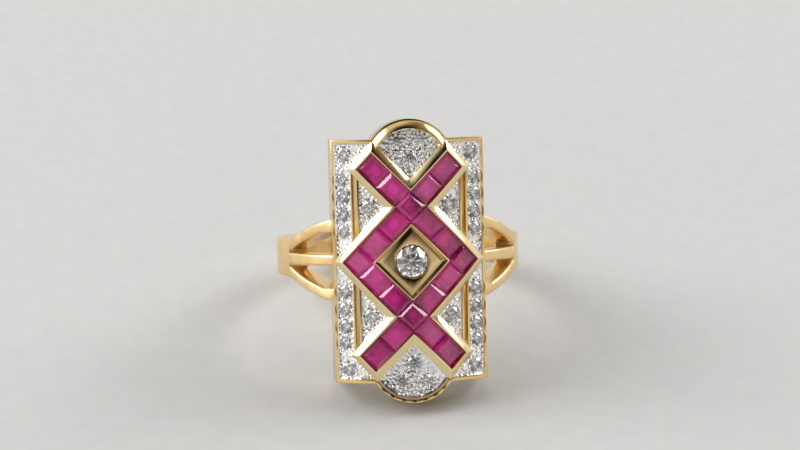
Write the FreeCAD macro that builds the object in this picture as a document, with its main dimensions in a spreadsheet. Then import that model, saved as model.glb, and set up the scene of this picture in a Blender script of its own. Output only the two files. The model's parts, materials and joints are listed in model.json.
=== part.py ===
import FreeCAD, Part
import math
import os

import Sketcher

# Ruby and diamond panel ring in yellow gold, for one finger.
#
# Everything is drawn in the ring's own frame first: Z is the finger's axis, the head's face looks
# along -Y, and the origin is the centre of the finger bore. The head is a plate curved round the
# finger, so each of its layers lies between two radii about Z. The last step leans the whole ring
# back until the foot of its head and the back of its hoop touch one level surface.

Vector = FreeCAD.Vector
Rotation = FreeCAD.Rotation
Placement = FreeCAD.Placement

document = FreeCAD.newDocument("cocktail_ring")
sheet = document.addObject("Spreadsheet::Sheet", "Sizes")

DRIVING_SIZES = {
    # hoop and shoulders
    "finger_radius": 8.75,
    "hoop_outer_radius": 10.08,
    "hoop_outer_shift": 0.12,
    "hoop_back_half_width": 1.2,
    "fork_half_width": 1.6,
    "fork_root_depth": 4.0,
    "bar_width": 0.9,
    "slot_root_width": 0.25,
    "bar_head_depth": 7.5,
    "outer_bar_head_height": 2.75,
    "hoop_edge_rounding": 0.2,
    # outline of the head, as seen from the front
    "head_half_width": 6.1,
    "head_half_height": 9.69,
    "dome_radius": 3.6,
    "dome_centre_height": 7.7,
    "rim_width": 0.22,
    "rim_end_width": 0.3,
    # layers of the head, as radii about the finger's axis
    "rim_foot_radius": 9.0,
    "rim_top_radius": 11.4,
    "channel_foot_radius": 10.15,
    "channel_floor_radius": 10.45,
    "border_radius": 11.55,
    "lip_radius": 11.84,
    "pave_foot_radius": 10.4,
    "pave_face_radius": 11.3,
    "centre_foot_radius": 10.35,
    "centre_face_radius": 11.62,
    # lattice of ruby channels
    "junction_height": 4.358,
    "corner_half_width": 4.262,
    "arm_length": 5.218,
    "channel_width": 1.79,
    "border_width": 0.55,
    "lip_width": 0.13,
    # groove between the side fields and the triangles
    "groove_middle": 4.35,
    "groove_width": 0.24,
    "rail_width": 0.2,
    # where the arms and the domes bound the fields
    "arm_corner_height": 7.4,
    "arm_tip_half_width": 3.05,
    "dome_foot_height": 6.0,
    "triangle_near_side": 1.9,
    "triangle_foot_height": 1.0,
    "triangle_top_height": 7.0,
    "rail_top_height": 7.1,
    "centre_plate_gap": 0.005,
    # rubies
    "ruby_fit_gap": 0.02,
    "ruby_joint_gap": 0.05,
    "ruby_girdle_radius": 11.4,
    "ruby_girdle_height": 0.12,
    "ruby_crown_height": 0.22,
    "ruby_pavilion_depth": 0.75,
    "ruby_bevel": 0.3,
    "ruby_keel_inset": 0.6,
    "ruby_window_radius": 0.5,
    # diamonds; the shares are of the stone's own diameter
    "centre_diamond_diameter": 2.5,
    "centre_diamond_girdle_radius": 11.55,
    "pave_girdle_radius": 11.24,
    "crown_share": 0.16,
    "girdle_share": 0.03,
    "pavilion_share": 0.42,
    "table_share": 0.56,
    "culet_share": 0.02,
    "seat_gap": 0.015,
    "diamond_window_share": 0.3,
}

for row, (alias, value) in enumerate(DRIVING_SIZES.items(), start=1):
    sheet.set(f"A{row}", alias)
    sheet.set(f"B{row}", str(value))
    sheet.setAlias(f"B{row}", alias)
document.recompute()

# Blanks are longer than the ring each way and get trimmed to it.
BLANK_FRONT = -14.0
BLANK_DEPTH = 9.5
BLANK_HALF_HEIGHT = 13.0
BLANK_WIDTH = 26.0

LEVELS = {"upper": 1, "lower": -1}
SIDES = {"left": -1, "right": 1}


def size(expression):
    """The value of an expression on the sheet."""
    return float(sheet.evalExpression(expression))


def bind(item, **expressions):
    """Tie an object's properties to expressions on the sheet; X, Y and Z are its place."""
    for name, expression in expressions.items():
        path = f"Placement.Base.{name.lower()}" if name in ("X", "Y", "Z") else name
        item.setExpression(path, expression)
    return item


def combine(kind, name, base, tool):
    """A boolean of two shapes; kind is Cut or Common."""
    result = document.addObject(f"Part::{kind}", name)
    result.Base = base
    result.Tool = tool
    return result


def fuse(name, pieces):
    """Overlapping pieces made into one."""
    result = document.addObject("Part::MultiFuse", name)
    result.Shapes = pieces
    return result


def group(name, pieces):
    """Separate solids kept side by side under one name."""
    result = document.addObject("Part::Compound", name)
    result.Links = pieces
    return result


def box(name, x, z, length, height):
    """A block through the whole depth of the head, from its lowest left corner in front view."""
    block = document.addObject("Part::Box", name)
    block.Width = BLANK_DEPTH
    block.Placement.Base = Vector(0, BLANK_FRONT, 0)
    return bind(block, X=x, Z=z, Length=length, Height=height)


def side_box(name, side, near, far, low, high):
    """A block between two distances from the middle plane, on the side given as -1 or 1."""
    start = near if side > 0 else f"-({far})"
    return box(name, start, low, f"({far}) - ({near})", f"({high}) - ({low})")


def finger_cylinder(name, radius):
    """A cylinder about the finger's axis, longer than the ring."""
    result = document.addObject("Part::Cylinder", name)
    result.Height = 2 * BLANK_HALF_HEIGHT
    result.Placement.Base = Vector(0, 0, -BLANK_HALF_HEIGHT)
    return bind(result, Radius=radius)


def layer(name, inner, outer):
    """The space between two radii about the finger's axis."""
    outside = finger_cylinder(f"{name}_outside", outer)
    inside = finger_cylinder(f"{name}_inside", inner)
    return combine("Cut", name, outside, inside)


def held_outline(body, plane, name, corners):
    """A closed sketch whose corners are each held by two dimensions tied to the sheet."""
    sketch = body.newObject("Sketcher::SketchObject", name)
    origin_plane = [item for item in body.Origin.OriginFeatures if item.Role == plane][0]
    sketch.AttachmentSupport = [(origin_plane, "")]
    sketch.MapMode = "FlatFace"
    points = [Vector(size(across), size(up), 0) for across, up in corners]
    ends = points[1:] + points[:1]
    for start, end in zip(points, ends):
        sketch.addGeometry(Part.LineSegment(start, end), False)
    for edge in range(len(points)):
        next_edge = (edge + 1) % len(points)
        sketch.addConstraint(Sketcher.Constraint("Coincident", edge, 2, next_edge, 1))
    for edge, (point, corner) in enumerate(zip(points, corners)):
        for axis, value, expression in zip(("DistanceX", "DistanceY"), point, corner):
            datum = Sketcher.Constraint(axis, -1, 1, edge, 1, value)
            sketch.setExpression(f"Constraints[{sketch.addConstraint(datum)}]", expression)
    return sketch


nodes = {}


def keep(name, item):
    """Register a finished sub-part under its own name."""
    item.Label = name
    nodes[name] = item
    return item


# ---------------------------------------------------------------------------------- shank
# A flat-sided hoop that splits into three bars on each shoulder. In side view it widens from
# its back to the fork, and the outer bars spread from there until they meet the head.


def bar_edges(way):
    """Side-view corners of the outer bar and its slot, above (1) or below (-1) the middle."""
    bar_top = "Sizes.outer_bar_head_height + Sizes.bar_width / 2"
    bar_bottom = "Sizes.outer_bar_head_height - Sizes.bar_width / 2"
    end = "-Sizes.bar_head_depth - 1"
    profile = [
        ("-Sizes.fork_root_depth", "Sizes.fork_half_width"),
        ("-Sizes.bar_head_depth", bar_top),
        (end, bar_top),
        (end, bar_bottom),
        ("-Sizes.bar_head_depth", bar_bottom),
        ("-Sizes.fork_root_depth", "Sizes.bar_width / 2 + Sizes.slot_root_width"),
        ("-Sizes.fork_root_depth", "Sizes.bar_width / 2"),
        (end, "Sizes.bar_width / 2"),
    ]
    if way > 0:
        return profile
    return [(depth, f"-({height})") for depth, height in reversed(profile)]


hoop_back = f"{BLANK_HALF_HEIGHT}"
shank_body = document.addObject("PartDesign::Body", "shank_side_view")
shank_sketch = held_outline(
    shank_body,
    "YZ_Plane",
    "shank_outline",
    [(hoop_back, "-Sizes.hoop_back_half_width"), (hoop_back, "Sizes.hoop_back_half_width")]
    + bar_edges(1)
    + bar_edges(-1),
)
shank_pad = shank_body.newObject("PartDesign::Pad", "shank_blank")
shank_pad.Profile = shank_sketch
shank_pad.SideType = "Symmetric"
shank_pad.Length = BLANK_WIDTH

hoop_outside = bind(
    finger_cylinder("hoop_outside", "Sizes.hoop_outer_radius"), Y="-Sizes.hoop_outer_shift"
)
hoop_bore = finger_cylinder("hoop_bore", "Sizes.finger_radius")
hoop_tube = combine("Cut", "hoop_tube", hoop_outside, hoop_bore)
forked_hoop = combine("Common", "forked_hoop", hoop_tube, shank_body)
head_gap = side_box(
    "head_gap",
    -1,
    "-Sizes.head_half_width",
    "Sizes.head_half_width",
    "-Sizes.head_half_height",
    "Sizes.head_half_height",
)
sharp_shank = combine("Cut", "sharp_shank", forked_hoop, head_gap)
document.recompute()


SHORTEST_LONG_EDGE = 2.5
OUTER_SURFACE_SLACK = 0.01
LONGEST_CHORD_SAG = 0.6


def outer_edges(shape, radius, shift):
    """Numbers of the edges that lie on the hoop's outer surface and run along it."""
    found = []
    for number, edge in enumerate(shape.Edges, start=1):
        samples = [edge.valueAt(value) for value in edge.ParameterRange]
        samples.append(edge.CenterOfMass)
        reaches = [math.hypot(point.x, point.y + shift) for point in samples]
        runs_along = edge.Length > SHORTEST_LONG_EDGE and min(reaches) > radius - LONGEST_CHORD_SAG
        if runs_along and max(reaches[:2]) > radius - OUTER_SURFACE_SLACK:
            found.append(number)
    return found


shank = document.addObject("Part::Fillet", "rounded_shank")
shank.Base = sharp_shank
rounding = size("Sizes.hoop_edge_rounding")
shank.Edges = [
    (number, rounding, rounding)
    for number in outer_edges(
        sharp_shank.Shape, size("Sizes.hoop_outer_radius"), size("Sizes.hoop_outer_shift")
    )
]
keep("shank", shank)

# ----------------------------------------------------------------------------- head frame
# The head's outer wall: a tall panel with a shallow dome on each short end. Its foot rests
# against the three shoulder bars on each side and its top is a narrow rim round the stones.


def head_outline(name, side_inset, end_inset):
    """The front-view outline of the head, through its whole depth, drawn in by two insets."""
    half_width = f"Sizes.head_half_width - {side_inset}"
    half_height = f"Sizes.head_half_height - {end_inset}"
    panel = box(
        f"{name}_panel",
        f"-({half_width})",
        f"-({half_height})",
        f"2 * ({half_width})",
        f"2 * ({half_height})",
    )
    pieces = [panel]
    for level, way in LEVELS.items():
        disc = document.addObject("Part::Cylinder", f"{name}_{level}_dome")
        disc.Height = BLANK_DEPTH
        disc.Placement = Placement(Vector(0, BLANK_FRONT, 0), Rotation(Vector(1, 0, 0), -90))
        bind(
            disc,
            Radius=f"Sizes.dome_radius - {side_inset}",
            Z=f"{way} * Sizes.dome_centre_height",
        )
        pieces.append(disc)
    return fuse(name, pieces)


head_outside = head_outline("head_outside", "0", "0")
head_inside = head_outline("head_inside", "Sizes.rim_width", "Sizes.rim_end_width")
wall_plan = combine("Cut", "wall_plan", head_outside, head_inside)
wall_layer = layer("wall_layer", "Sizes.rim_foot_radius", "Sizes.rim_top_radius")
keep("head_frame", combine("Common", "head_wall", wall_plan, wall_layer))

# ---------------------------------------------------------------------------- ruby channel
# Four straight channels cross at a junction above and below the centre and meet in a corner on
# each side. Each is a trough with a floor, two broad walls and a fine raised lip for the stones.

junction_height = size("Sizes.junction_height")
corner_half_width = size("Sizes.corner_half_width")
side_length = math.hypot(junction_height, corner_half_width)
channel_turn = math.degrees(math.atan2(junction_height, corner_half_width))
channel_offset = junction_height * corner_half_width / side_length

# Each channel runs past one junction into an arm: +1 leans down to the right, -1 up to the right.
CHANNELS = {
    "upper_left": (1, 1),
    "upper_right": (-1, 1),
    "lower_left": (-1, -1),
    "lower_right": (1, -1),
}


def channel_block(name, arm, width, end_wall):
    """A block along one channel, from its arm's end to past its corner, width across it."""
    lean, level = CHANNELS[arm]
    block = document.addObject("Part::Box", name)
    block.Width = BLANK_DEPTH
    overrun = f"({width}) / 2"
    bind(
        block,
        Length=f"{side_length} + Sizes.arm_length + ({end_wall}) + {overrun}",
        Height=width,
    )
    arm_reach = junction_height**2 / side_length + size(f"Sizes.arm_length + ({end_wall})")
    corner_reach = corner_half_width**2 / side_length + size(overrun)
    start = -arm_reach if lean * level > 0 else -corner_reach
    turn = Rotation(Vector(0, 1, 0), lean * channel_turn)
    across = level * channel_offset - size(overrun)
    block.Placement = Placement(turn.multVec(Vector(start, BLANK_FRONT, across)), turn)
    return block


def lattice(name, width, end_wall):
    """All four channels at one width."""
    blocks = [channel_block(f"{name}_{arm}", arm, width, end_wall) for arm in CHANNELS]
    return fuse(name, blocks)


def middle_rhombus(name, gap):
    """The space inside the four channels, kept clear of their middle lines by a gap."""
    bands = []
    for lean in (1, -1):
        band = document.addObject("Part::Box", f"{name}_{'fall' if lean > 0 else 'rise'}")
        band.Width = BLANK_DEPTH
        bind(band, Length=f"{2 * side_length}", Height=f"2 * ({channel_offset} - ({gap}))")
        turn = Rotation(Vector(0, 1, 0), lean * channel_turn)
        corner = Vector(-side_length, BLANK_FRONT, -channel_offset + size(gap))
        band.Placement = Placement(turn.multVec(corner), turn)
        bands.append(band)
    return combine("Common", name, *bands)


BORDERED_WIDTH = "Sizes.channel_width + 2 * Sizes.border_width"
LIPPED_WIDTH = "Sizes.channel_width + 2 * Sizes.lip_width"
LIP_GAP = "Sizes.channel_width / 2 + Sizes.lip_width"

border_plan = lattice("border_plan", BORDERED_WIDTH, "Sizes.border_width")
border_layer = layer("border_layer", "Sizes.channel_foot_radius", "Sizes.border_radius")
border_blank = combine("Common", "border_blank", border_plan, border_layer)
lip_plan = lattice("lip_plan", LIPPED_WIDTH, "Sizes.lip_width")
lip_layer = layer("lip_layer", "Sizes.channel_floor_radius", "Sizes.lip_radius")
lip_blank = combine("Common", "lip_blank", lip_plan, lip_layer)
lattice_blank = fuse("lattice_blank", [border_blank, lip_blank])
fitted_blank = combine("Common", "fitted_blank", lattice_blank, head_inside)

trough_plan = lattice("trough_plan", "Sizes.channel_width", "0")
trough_layer = finger_cylinder("trough_floor", "Sizes.channel_floor_radius")
trough = combine("Cut", "trough", trough_plan, trough_layer)
middle_opening = middle_rhombus("middle_opening", LIP_GAP)


def radial_rotation(x, radius):
    """Turn that points local -Y straight out from the finger at a place in front view."""
    return Rotation(Vector(0, 0, 1), math.degrees(math.asin(x / radius)))


def radial_place(x, z, radius, turn=0.0):
    """Place on a layer of the head, with local -Y pointing out and a turn about that line."""
    outward = radial_rotation(x, radius)
    spot = Vector(x, -math.sqrt(radius**2 - x**2), z)
    return Placement(spot, outward * Rotation(Vector(0, 1, 0), turn))


def along_channel(arm, distance):
    """Front-view point on one channel's middle line, measured from its junction to its arm."""
    lean, level = CHANNELS[arm]
    towards_arm = -lean * level
    x = towards_arm * distance * corner_half_width / side_length
    z = level * (junction_height + distance * junction_height / side_length)
    return x, z


# Each stone's channel, its distance from the junction and its length along the channel.
channel_width = size("Sizes.channel_width")
arm_stone = (size("Sizes.arm_length") - channel_width / 2) / 2
side_stone = (side_length - channel_width) / 2
STONES_IN_A_CHANNEL = {
    "arm_2": (channel_width / 2 + 1.5 * arm_stone, arm_stone),
    "arm_1": (channel_width / 2 + 0.5 * arm_stone, arm_stone),
    "junction": (0.0, channel_width),
    "side_1": (-channel_width / 2 - 0.5 * side_stone, side_stone),
    "side_2": (-channel_width / 2 - 1.5 * side_stone, side_stone),
    "corner": (-side_length, channel_width),
}


def ruby_name(arm, spot):
    """Name of the stone at a spot of a channel, or none where another channel has it.

    A channel runs from its arm through the junction to the opposite side of the ring.
    """
    level, side = arm.split("_")
    other_side = "right" if side == "left" else "left"
    if spot == "junction":
        return f"ruby_{level}_junction" if side == "left" else None
    if spot == "corner":
        return f"ruby_{other_side}_corner" if level == "upper" else None
    if spot.startswith("side"):
        return f"ruby_{level}_{other_side}_{spot}"
    return f"ruby_{arm}_{spot}"


ruby_spots = {}
for arm, (lean, level) in CHANNELS.items():
    for spot, (distance, length) in STONES_IN_A_CHANNEL.items():
        if ruby_name(arm, spot):
            x, z = along_channel(arm, distance)
            ruby_spots[ruby_name(arm, spot)] = (x, z, lean * channel_turn, length)

WINDOW_DEPTH = 2.0
window_start = Vector(0, size("Sizes.ruby_bevel"), 0)
windows = []
for name, (x, z, turn, length) in ruby_spots.items():
    window = document.addObject("Part::Cylinder", f"{name}_window")
    window.Height = WINDOW_DEPTH
    bind(window, Radius="Sizes.ruby_window_radius")
    spot = radial_place(x, z, size("Sizes.ruby_girdle_radius"))
    window.Placement = spot * Placement(window_start, Rotation(Vector(1, 0, 0), -90))
    windows.append(window)
channel_cuts = fuse("channel_cuts", [trough, middle_opening] + windows)
keep("ruby_channel", combine("Cut", "lattice_trough", fitted_blank, channel_cuts))

# --------------------------------------------------------------------------------- rubies
# Calibre-cut stones: a low bevelled crown, a thin girdle and a pavilion down to a blunt keel.
# The channel walls grip the girdle along both sides.


def step_cut(name, length, width):
    """One rectangular stone about its girdle: local X along it, Z across and -Y out."""
    half_length = f"({length} - Sizes.ruby_joint_gap) / 2"
    half_width = f"({width} - Sizes.ruby_fit_gap) / 2"
    half_girdle = "Sizes.ruby_girdle_height / 2"
    slabs = {
        "crown": (
            f"-{half_girdle} - Sizes.ruby_crown_height",
            f"-{half_girdle}",
            "Sizes.ruby_bevel",
            "0",
        ),
        "pavilion": (
            half_girdle,
            f"{half_girdle} + Sizes.ruby_pavilion_depth",
            "0",
            "Sizes.ruby_keel_inset",
        ),
    }
    girdle = document.addObject("Part::Box", f"{name}_girdle")
    bind(
        girdle,
        X=f"-{half_length}",
        Y=f"-{half_girdle}",
        Z=f"-{half_width}",
        Length=f"2 * {half_length}",
        Width="Sizes.ruby_girdle_height",
        Height=f"2 * {half_width}",
    )
    pieces = [girdle]
    for part, (front, back, front_inset, back_inset) in slabs.items():
        slab = document.addObject("Part::Wedge", f"{name}_{part}")
        bind(
            slab,
            Ymin=front,
            Ymax=back,
            Xmin=f"-{half_length} + {front_inset}",
            Xmax=f"{half_length} - {front_inset}",
            Zmin=f"-{half_width} + {front_inset}",
            Zmax=f"{half_width} - {front_inset}",
            X2min=f"-{half_length} + {back_inset}",
            X2max=f"{half_length} - {back_inset}",
            Z2min=f"-{half_width} + {back_inset}",
            Z2max=f"{half_width} - {back_inset}",
        )
        pieces.append(slab)
    return fuse(name, pieces)


for name, (x, z, turn, length) in ruby_spots.items():
    stone = step_cut(f"{name}_stone", f"{length}", "Sizes.channel_width")
    stone.Placement = radial_place(x, z, size("Sizes.ruby_girdle_radius"), turn)
    keep(name, stone)

# ------------------------------------------------------------------------------- diamonds
# Round brilliants, each sunk to its girdle in a conical seat with an open window behind it.


def round_shape(name, diameter, slabs):
    """Cones and cylinders stacked along local -Y: each is (back, front, back and front radius)."""
    pieces = []
    for number, (back, front, back_share, front_share) in enumerate(slabs):
        if back_share == front_share:
            slab = document.addObject("Part::Cylinder", f"{name}_{number}")
            bind(slab, Radius=f"{diameter} * ({back_share})")
        else:
            slab = document.addObject("Part::Cone", f"{name}_{number}")
            bind(
                slab,
                Radius1=f"{diameter} * ({back_share})",
                Radius2=f"{diameter} * ({front_share})",
            )
        bind(slab, Height=f"{diameter} * (({front}) - ({back}))")
        slab.Placement.Rotation = Rotation(Vector(1, 0, 0), 90)
        bind(slab, Y=f"-{diameter} * ({back})")
        pieces.append(slab)
    return fuse(name, pieces)


HALF_GIRDLE = "Sizes.girdle_share / 2"
CROWN_TOP = f"{HALF_GIRDLE} + Sizes.crown_share"
CULET = f"-{HALF_GIRDLE} - Sizes.pavilion_share"


def brilliant(name, diameter):
    """One round brilliant about the middle of its girdle, with its table towards local -Y."""
    return round_shape(
        name,
        diameter,
        [
            (CULET, f"-{HALF_GIRDLE}", "Sizes.culet_share", "0.5"),
            (f"-{HALF_GIRDLE}", HALF_GIRDLE, "0.5", "0.5"),
            (HALF_GIRDLE, CROWN_TOP, "0.5", "Sizes.table_share / 2"),
        ],
    )


def seat(name, diameter):
    """What a brilliant's setting removes: its bed, the opening above it and a window below."""
    bed_back = f"{CULET} - Sizes.seat_gap"
    girdle_back = f"-{HALF_GIRDLE} - Sizes.seat_gap"
    return round_shape(
        name,
        diameter,
        [
            ("-2", bed_back, "Sizes.diamond_window_share / 2", "Sizes.diamond_window_share / 2"),
            (bed_back, girdle_back, "Sizes.culet_share + Sizes.seat_gap", "0.5 + Sizes.seat_gap"),
            (girdle_back, "1", "0.5 + Sizes.seat_gap", "0.5 + Sizes.seat_gap"),
            ("-1", "-0.25", "Sizes.diamond_window_share / 2", "Sizes.diamond_window_share / 2"),
        ],
    )


def set_field(name, plate, stones, girdle_radius):
    """Cut a seat for each stone (x, z, diameter) in a plate; keep the plate and its stones."""
    seats = []
    brilliants = []
    for number, (x, z, diameter) in enumerate(stones, start=1):
        spot = radial_place(x, z, girdle_radius)
        for make, made, kind in ((seat, seats, "seat"), (brilliant, brilliants, "stone")):
            item = make(f"{name}_{kind}_{number}", f"{diameter}")
            item.Placement = spot
            made.append(item)
    cutter = seats[0] if len(seats) == 1 else group(f"{name}_seats", seats)
    keep(f"{name}_plate", combine("Cut", f"{name}_drilled", plate, cutter))
    whole = brilliants[0] if len(brilliants) == 1 else group(f"{name}_stones", brilliants)
    keep(f"{name}_diamond{'s' if len(stones) > 1 else ''}", whole)


# --------------------------------------------------------------------------- centre plate
# A polished rhombic plate inside the four channels, with the largest diamond set flush in it.

centre_opening = middle_rhombus("centre_opening", f"{LIP_GAP} + Sizes.centre_plate_gap")
centre_layer = layer("centre_layer", "Sizes.centre_foot_radius", "Sizes.centre_face_radius")
centre_blank = combine("Common", "centre_blank", centre_opening, centre_layer)
set_field(
    "centre",
    centre_blank,
    [(0.0, 0.0, size("Sizes.centre_diamond_diameter"))],
    size("Sizes.centre_diamond_girdle_radius"),
)

# ------------------------------------------------------------------------------ pave fields
# Thin white gold plates that fill the spaces between the lattice and the rim. Their stones
# stand in single file in the side fields, one in each triangle, and in a cluster in the domes.

pave_layer = layer("pave_layer", "Sizes.pave_foot_radius", "Sizes.pave_face_radius")
pave_sheet = combine("Common", "pave_sheet", pave_layer, head_inside)
pave_areas = combine("Cut", "pave_areas", pave_sheet, border_plan)

GROOVE_NEAR = "Sizes.groove_middle - Sizes.groove_width / 2"
GROOVE_FAR = "Sizes.groove_middle + Sizes.groove_width / 2"
TRIANGLE_FAR = f"{GROOVE_NEAR} - Sizes.rail_width"
COLUMN_NEAR = f"{GROOVE_FAR} + Sizes.rail_width"
ARM_TIP = "Sizes.arm_tip_half_width"


def levelled(low, high, way):
    """A height range mirrored below the middle where way is -1."""
    return (low, high) if way > 0 else (f"-({high})", f"-({low})")


DOME_STONES = {
    "top": (1, [(-0.98, 9.62, 1.15), (0.88, 9.78, 1.1), (0.04, 8.22, 1.2)]),
    "bottom": (-1, [(-0.98, -9.55, 1.15), (0.98, -9.55, 1.15), (0.0, -8.1, 1.2)]),
}
for level, (way, stones) in DOME_STONES.items():
    low, high = levelled("Sizes.dome_foot_height", f"{BLANK_HALF_HEIGHT}", way)
    region = side_box(f"{level}_region", 1, f"-{ARM_TIP}", ARM_TIP, low, high)
    field = combine("Common", f"{level}_field", pave_areas, region)
    set_field(f"{level}_dome", field, stones, size("Sizes.pave_girdle_radius"))

SIDE_STONES = [
    (5.27, 2.4, 1.15),
    (5.27, 3.8, 1.2),
    (5.27, 5.2, 1.2),
    (5.29, 6.52, 1.05),
    (5.1, 8.55, 1.25),
]
TRIANGLE_STONE = (3.22, 4.36, 1.35)

for level, way in LEVELS.items():
    for side_name, side in SIDES.items():
        low, high = levelled("0", f"{BLANK_HALF_HEIGHT}", way)
        quarter = side_box(
            f"{level}_{side_name}_quarter", side, ARM_TIP, "Sizes.head_half_width", low, high
        )
        low, high = levelled("0", "Sizes.arm_corner_height", way)
        inner_part = side_box(
            f"{level}_{side_name}_inner_part", side, "0", COLUMN_NEAR, low, high
        )
        outer_part = combine("Cut", f"{level}_{side_name}_outer_part", quarter, inner_part)
        field = combine("Common", f"{level}_{side_name}_column", pave_areas, outer_part)
        stones = [(side * x, way * z, diameter) for x, z, diameter in SIDE_STONES]
        set_field(f"{level}_{side_name}_side", field, stones, size("Sizes.pave_girdle_radius"))

        low, high = levelled("Sizes.triangle_foot_height", "Sizes.triangle_top_height", way)
        cell = side_box(
            f"{level}_{side_name}_cell", side, "Sizes.triangle_near_side", TRIANGLE_FAR, low, high
        )
        field = combine("Common", f"{level}_{side_name}_cell_field", pave_areas, cell)
        x, z, diameter = TRIANGLE_STONE
        set_field(
            f"{level}_{side_name}_triangle",
            field,
            [(side * x, way * z, diameter)],
            size("Sizes.pave_girdle_radius"),
        )

# ------------------------------------------------------------------------------------ rails
# Two thin yellow gold strips on each side of every groove: the triangle's back wall and the
# side field's inner wall, both running from the rhombus to the arm.

rail_layer = layer("rail_layer", "Sizes.pave_foot_radius", "Sizes.rim_top_radius")
rail_sheet = combine("Cut", "rail_sheet", rail_layer, border_plan)
for kind, near, far in (
    ("triangle_walls", TRIANGLE_FAR, GROOVE_NEAR),
    ("column_rails", GROOVE_FAR, COLUMN_NEAR),
):
    strips = []
    for level, way in LEVELS.items():
        low, high = levelled("Sizes.triangle_foot_height", "Sizes.rail_top_height", way)
        for side_name, side in SIDES.items():
            span = side_box(f"{kind}_{level}_{side_name}_span", side, near, far, low, high)
            strips.append(combine("Common", f"{kind}_{level}_{side_name}", rail_sheet, span))
    keep(kind, group(f"{kind}_group", strips))

# ---------------------------------------------------------------------------------- stand
# The ring leans back on the foot of its lower dome and the back edge of its hoop. The angle
# makes those two edges level.

foot_back = size("Sizes.rim_foot_radius")
foot_drop = size("Sizes.dome_centre_height + Sizes.dome_radius")
hoop_reach = size("Sizes.hoop_outer_radius - Sizes.hoop_outer_shift")
hoop_drop = size("Sizes.hoop_back_half_width")
lean_angle = math.degrees(math.atan2(foot_drop - hoop_drop, foot_back + hoop_reach))
lean = Placement(Vector(0, 0, 0), Rotation(Vector(1, 0, 0), -lean_angle))

document.recompute()
for node in nodes.values():
    node.Placement = lean * node.Placement
document.recompute()

for item in document.Objects:
    if {"Invalid", "Error"} & set(item.State):
        raise RuntimeError(f"{item.Label} is {item.State}")
for name, node in nodes.items():
    if node.Shape.isNull() or not node.Shape.isValid() or not node.Shape.Solids:
        raise RuntimeError(f"{name} has no valid solid")

os.makedirs("parts", exist_ok=True)
for name, node in nodes.items():
    node.Shape.exportStep(os.path.join("parts", f"{name}.step"))
    print(name, len(node.Shape.Solids), "solids,", round(node.Shape.Volume, 3), "mm3")
print("leans back", round(lean_angle, 3), "degrees;", len(nodes), "sub-parts")
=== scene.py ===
import json
import math
import random

import bmesh
import bpy
from mathutils import Matrix, Vector


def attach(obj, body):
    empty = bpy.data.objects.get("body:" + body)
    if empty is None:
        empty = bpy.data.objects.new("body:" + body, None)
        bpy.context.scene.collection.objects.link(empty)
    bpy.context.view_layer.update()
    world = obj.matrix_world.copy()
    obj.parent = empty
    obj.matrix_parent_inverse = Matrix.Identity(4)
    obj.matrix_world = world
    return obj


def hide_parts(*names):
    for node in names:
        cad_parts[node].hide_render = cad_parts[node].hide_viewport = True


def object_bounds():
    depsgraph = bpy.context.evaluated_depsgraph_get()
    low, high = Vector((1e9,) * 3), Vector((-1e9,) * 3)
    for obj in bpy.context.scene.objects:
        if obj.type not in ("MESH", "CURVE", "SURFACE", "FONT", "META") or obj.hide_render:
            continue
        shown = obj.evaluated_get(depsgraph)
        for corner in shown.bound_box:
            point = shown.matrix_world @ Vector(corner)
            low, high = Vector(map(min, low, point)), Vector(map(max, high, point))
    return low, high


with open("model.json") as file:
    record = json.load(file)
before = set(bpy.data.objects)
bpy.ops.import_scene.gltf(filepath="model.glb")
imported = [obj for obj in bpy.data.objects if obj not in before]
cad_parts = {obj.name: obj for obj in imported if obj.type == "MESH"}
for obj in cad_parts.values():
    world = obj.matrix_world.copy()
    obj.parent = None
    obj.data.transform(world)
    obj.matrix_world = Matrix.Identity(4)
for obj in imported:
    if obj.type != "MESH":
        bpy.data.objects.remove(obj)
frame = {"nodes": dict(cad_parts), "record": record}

cad_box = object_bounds()

# ------------------------------------------------------------------------------------ shank
# The hoop that goes round the finger: 18 carat yellow gold, cast in one piece and forked by
# sawing into three bars on each shoulder. Its edges are rounded and it is polished all over.
#
# Every piece is shaped in millimetres in the ring's own frame, with Z along the finger and the
# face towards -Y, and is then leaned back to the way the ring rests.

MILLIMETRE = 0.001
WELD_DISTANCE = 0.0005
FLAT_ENOUGH = math.radians(0.5)
SHANK_EDGE = 0.07
FINGER_AXIS = Vector(frame["record"]["mounts"][0]["axis"])
LEAN = math.atan2(FINGER_AXIS.y, FINGER_AXIS.z)
LEANED = Matrix.Rotation(-LEAN, 4, "X") @ Matrix.Scale(MILLIMETRE, 4)


def pick(piece):
    """Leave one object selected and active."""
    bpy.ops.object.select_all(action="DESELECT")
    piece.select_set(True)
    bpy.context.view_layer.objects.active = piece


def finish_with(piece, kind, **settings):
    """Add a modifier and apply it."""
    pick(piece)
    modifier = piece.modifiers.new(kind.title(), kind)
    for name, value in settings.items():
        setattr(modifier, name, value)
    bpy.ops.object.modifier_apply(modifier=modifier.name)


def cut_away(piece, cutter, operation="DIFFERENCE"):
    """Cut, fuse or trim a piece with another object, which is used up."""
    finish_with(piece, "BOOLEAN", object=cutter, operation=operation, solver="EXACT")
    bpy.data.objects.remove(cutter)


def round_edges(piece, width, angle=30):
    """Break every edge sharper than an angle, as polishing does, and shade the rest smooth."""
    finish_with(
        piece,
        "BEVEL",
        width=width,
        segments=2,
        limit_method="ANGLE",
        angle_limit=math.radians(angle),
        use_clamp_overlap=True,
        miter_outer="MITER_ARC",
    )
    pick(piece)
    bpy.ops.object.shade_smooth_by_angle(angle=math.radians(angle))


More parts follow.
